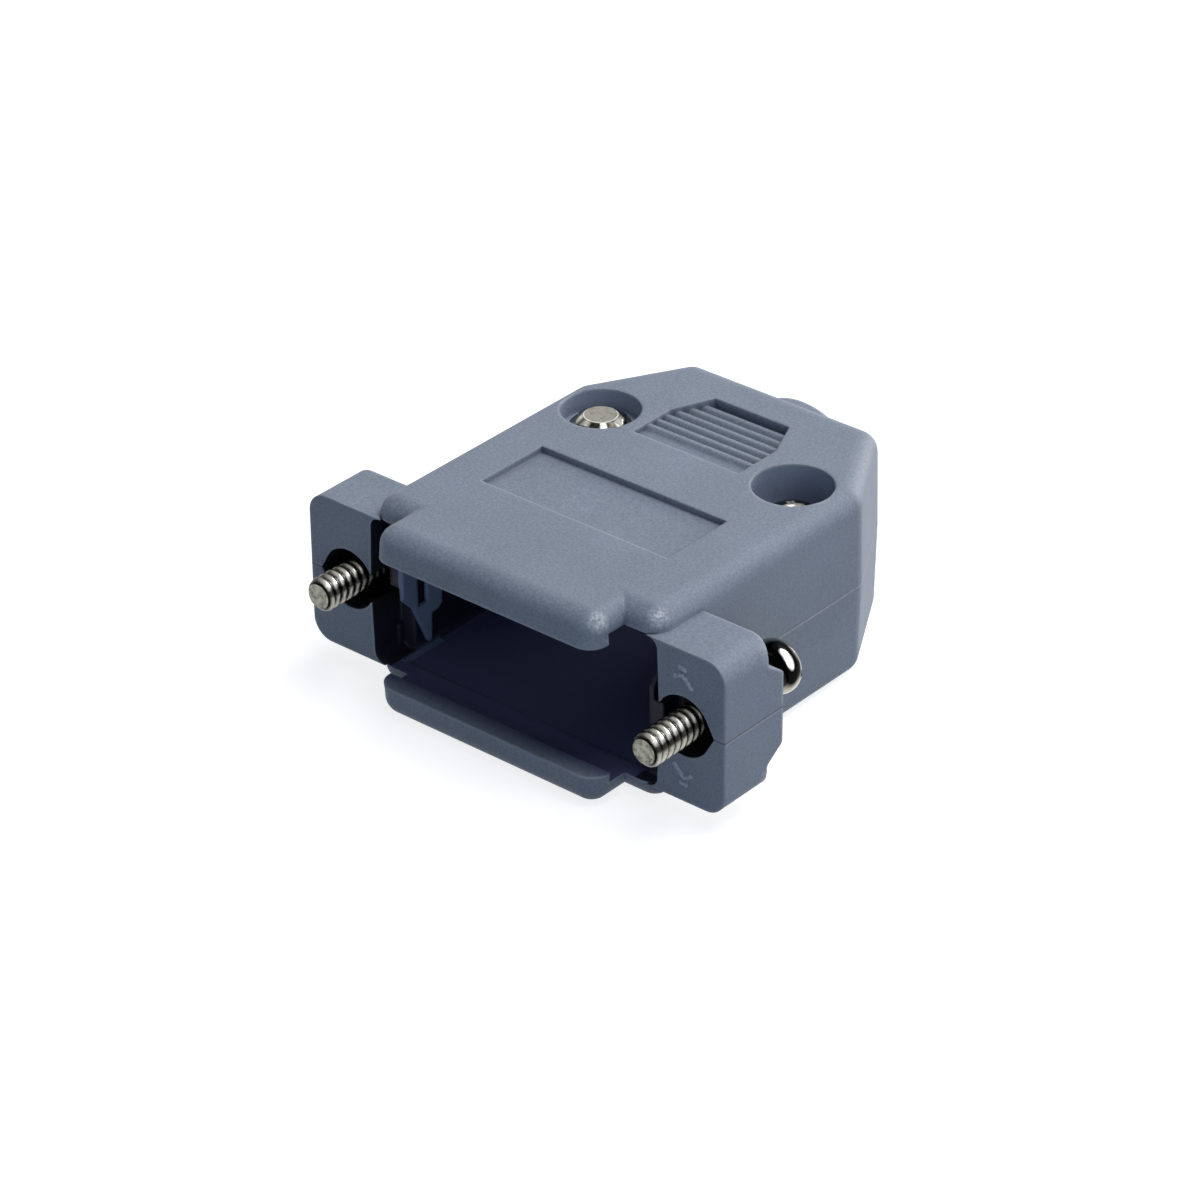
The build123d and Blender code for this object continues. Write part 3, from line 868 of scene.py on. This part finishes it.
def makeClosingScrew(node, turned):
    s = closingScrew
    top = s["headFloor"] + s["rim"] + s["dome"]
    ball = (s["headRadius"] ** 2 + s["dome"] ** 2) / (2 * s["dome"])
    domeAngle = math.degrees(math.asin(s["headRadius"] / ball))
    profile = [(0, s["end"]), (s["radius"] - s["endCone"], s["end"]), (s["radius"], s["end"] + s["endCone"]),
               (s["radius"], s["headFloor"]), (s["headRadius"] - s["headEdge"], s["headFloor"]),
               (s["headRadius"], s["headFloor"] + s["headEdge"])]
    profile += arcPoints(0, top - ball, ball, 90 - domeAngle, 89, 12) + [(0, top)]
    work = bmesh.new()
    addTurned(work, profile, 64)
    mesh = meshFrom(work, node + "_solid")
    half = (s["crossLong"] / 2, s["crossWide"] / 2, s["crossDeep"])
    turn = math.radians(s["crossTurn"])
    cross = [(half, (0, 0, top), turn + k * math.pi / 2, s["crossFoot"]) for k in (0, 1)]
    mesh = cutBoxes(mesh, cross)
    reach = math.hypot(s["crossLong"], s["crossWide"]) / 2

    # the recess lies under the dome, within its own reach
    def inRecess(face):
        c = face.center
        dome = top - ball + math.sqrt(max(0.0, ball ** 2 - c.x ** 2 - c.y ** 2))
        if math.hypot(c.x, c.y) >= reach:
            return 0
        return 1 if top - s["crossDeep"] * 1.05 < c.z < dome - s["underDome"] else 0

    chosen = [inRecess(face) for face in mesh.polygons]
    moveToWell(mesh, s, turned)
    return finishPiece(node + "_pan", mesh, node, "hood", ("pan", "recess"), 35,
                       lambda face: chosen[face.index])


makeClosingScrew("closing_screw_right", False)
makeClosingScrew("closing_screw_left", True)
print("closing screws made")


# closing nuts: hexagon with sloping corners on a round flange
closingNut = {
    "x": -9.6 * mm, "y": 21.82 * mm,
    "floor": 6.45 * mm,
    "flangeRadius": 2.65 * mm,
    "flange": 0.4 * mm,
    "flangeEdge": 0.06 * mm,
    "flangeRound": 0.12 * mm,
    "flangeDrop": 0.02 * mm,
    "flangeFrom": 2.2 * mm,  # beyond this radius a face is the flange's
    "hexSink": 0.05 * mm,
    "flats": 3.8 * mm,
    "hex": 0.90 * mm,
    "topRadius": 1.30 * mm,
    "rimWide": 0.12 * mm,
    "rimDrop": 0.03 * mm,
    "slope": 0.46 * mm,
    "slopeSteps": 5,
    "bore": 1.256 * mm,
}


def makeClosingNut(node, turned):
    n = closingNut
    top = n["floor"] + n["flange"] + n["hex"]
    foot = n["floor"] + n["flange"]

    def hexRadius(angle):
        part = (angle + math.pi / 6) % (math.pi / 3) - math.pi / 6
        return n["flats"] / 2 / math.cos(part - math.pi / 6 if part > 0 else part + math.pi / 6)

    corner = n["flats"] / math.sqrt(3)
    work = bmesh.new()
    edge, soft, out = n["flangeEdge"], n["flangeRound"], n["flangeRadius"]
    flange = [(n["bore"], n["floor"]), (out - edge, n["floor"]), (out, n["floor"] + edge), (out, foot - soft),
              (out - soft, foot - n["flangeDrop"]), (n["bore"], foot)]
    addTurned(work, flange, 72, loop=True)
    outer = [(n["bore"], foot - n["hexSink"]), (corner, foot - n["hexSink"]), (corner, top - n["slope"])]
    rim = n["topRadius"] + n["rimWide"]
    for i in range(1, n["slopeSteps"] + 1):
        share = i / n["slopeSteps"]
        drop = n["rimDrop"] + (n["slope"] - n["rimDrop"]) * (1 - share)
        outer.append((corner + (rim - corner) * share, top - drop))
    outer += [(n["topRadius"], top), (n["bore"], top)]
    addTurned(work, outer, 72, loop=True, cornered=hexRadius)
    mesh = meshFrom(work, node + "_solid")
    onFlange = [1 if face.center.xy.length > n["flangeFrom"] else 0 for face in mesh.polygons]
    moveToWell(mesh, n, turned)
    return finishPiece(node + "_hex", mesh, node, "hood", ("nut", "flange"), 28,
                       lambda face: onFlange[face.index])


makeClosingNut("closing_nut_left", False)
makeClosingNut("closing_nut_right", True)
print("closing nuts made")


# the ears' backs lean out towards their tops, by more than the modelled ears do
earBack = {
    "innerX": 14.0 * mm, "outerX": 20.604 * mm,
    "lowZ": 4.3 * mm, "highZ": 6.504 * mm,
    "corner": 1.754 * mm,
    "startY": 2.6 * mm, "startInset": 0.06 * mm, "fullY": 4.08 * mm,  # slants out of the ear unseen
    "lowY": 4.97 * mm, "highY": 5.46 * mm,
    "edge": 0.18 * mm,
    "sideSink": 0.014 * mm,
}


def makeEarBack(name, sideX, sideZ):
    e = earBack

    def outline(inset):
        r = e["corner"] - inset
        points = [(e["innerX"], e["lowZ"] + inset), (e["outerX"] - e["sideSink"] - inset, e["lowZ"] + inset)]
        points += arcPoints(e["outerX"] - e["corner"], e["highZ"] - e["corner"], r, 0, 90, 10)
        return points + [(e["innerX"], e["highZ"] - inset)]

    def backY(z):
        return e["lowY"] + (e["highY"] - e["lowY"]) * (z - e["lowZ"]) / (e["highZ"] - e["lowZ"])

    work = bmesh.new()
    rings = []
    for inset, level in ((e["startInset"], e["startY"]), (0.0, e["fullY"])):
        rings.append([work.verts.new((x * sideX, level, z * sideZ)) for x, z in outline(inset)])
    for inset, drop in ((0.0, e["edge"]), (e["edge"], 0.0)):
        rings.append([work.verts.new((x * sideX, backY(z) - drop, z * sideZ)) for x, z in outline(inset)])
    for low, high in zip(rings, rings[1:]):
        joinRings(work, low, high)
    work.faces.new(rings[0])
    work.faces.new(rings[-1])
    return finishPiece(name, meshFrom(work, name), None, "hood", "housing", 50)


for half, sideZ in (("upper", 1), ("lower", -1)):
    makeEarBack("ear_back_" + half + "_left", -1, sideZ)
    makeEarBack("ear_back_" + half + "_right", 1, sideZ)
print("ear backs made")


# raised mould marks on the front of the right ear: round bars from (x, z) to (x, z), in mm.
# The lower mark is the upper one turned half a turn about the jackscrew
mouldMark = {
    "barRadius": 0.21, "sunk": 0.05, "turnX": 16.66, "aroundSteps": 16,
    "bars": [((16.35, 4.98), (16.85, 4.90)), ((16.55, 4.42), (15.95, 4.10)), ((16.55, 4.42), (17.45, 3.52))],
}


def makeMark(name, turned):
    m = mouldMark
    around = m["aroundSteps"]
    outward = Vector((0, 1, 0))
    work = bmesh.new()
    for bar in m["bars"]:
        ends = [(2 * m["turnX"] - x, -z) if turned else (x, z) for x, z in bar]
        a, b = (Vector((x, m["sunk"], z)) * mm for x, z in ends)
        along = (b - a).normalized()
        across = along.cross(outward)
        radius = m["barRadius"] * mm
        for centre in (a, b):
            bmesh.ops.create_uvsphere(work, u_segments=around, v_segments=10, radius=radius,
                                      matrix=Matrix.Translation(centre))
        rows = []
        for centre in (a, b):
            ring = []
            for k in range(around):
                turn = 2 * math.pi * k / around
                off = across * math.cos(turn) + outward * math.sin(turn)
                ring.append(work.verts.new(centre + off * radius))
            rows.append(ring)
        joinRings(work, *rows)
    # the marks take the plastic painted lighter as their highlight
    return finishPiece(name, meshFrom(work, name), None, "hood", "rubbed", 60)


makeMark("mould_mark_upper", False)
makeMark("mould_mark_lower", True)
print("mould marks made")

bpy.context.scene.view_settings.view_transform = "Standard"
